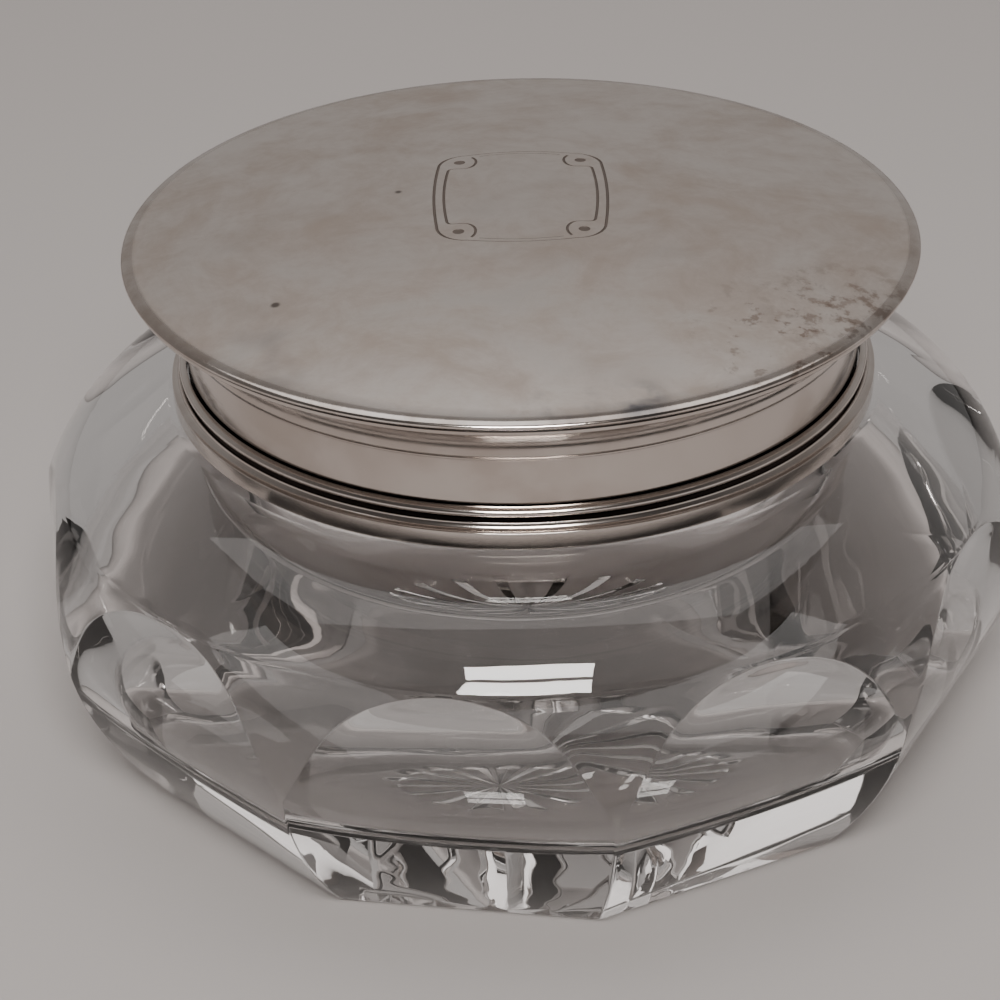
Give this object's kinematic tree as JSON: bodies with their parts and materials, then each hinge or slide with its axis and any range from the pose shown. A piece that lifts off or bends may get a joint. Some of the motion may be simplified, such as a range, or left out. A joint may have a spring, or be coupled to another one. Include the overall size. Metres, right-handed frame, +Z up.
{
  "type": "cut-glass jar with lid",
  "caption": "Squat round cut-glass dressing-table jar with panel-cut sides, a faceted foot, a straight neck and a slip-on domed silver lid.",
  "frame": {"origin": "centre of the ten-sided foot, on the surface the jar stands on", "axes": "+Z up along the jar's axis, the way the lid lifts off; -Y is the side seen from the front"},
  "size_m": [0.1288, 0.129, 0.0744],
  "materials": {
    "clear_glass": "clear, fire-polished and cut",
    "satin_silver": "worn satin, tarnished",
    "polished_silver": "polished",
    "upper_bead_silver": "polished",
    "lower_bead_silver": "polished"
  },
  "bodies": {
    "jar": {"glass_jar": "clear_glass"},
    "lid": {"lid_top_plate": "satin_silver", "lid_skirt": "polished_silver", "lid_upper_bead": "upper_bead_silver", "lid_lower_bead": "lower_bead_silver"}
  },
  "joints": [
    {"name": "lid_lift", "type": "slide", "parent": "jar", "child": "lid", "axis": [0, 0, 1], "range_m": [0, 0.08]}
  ]
}
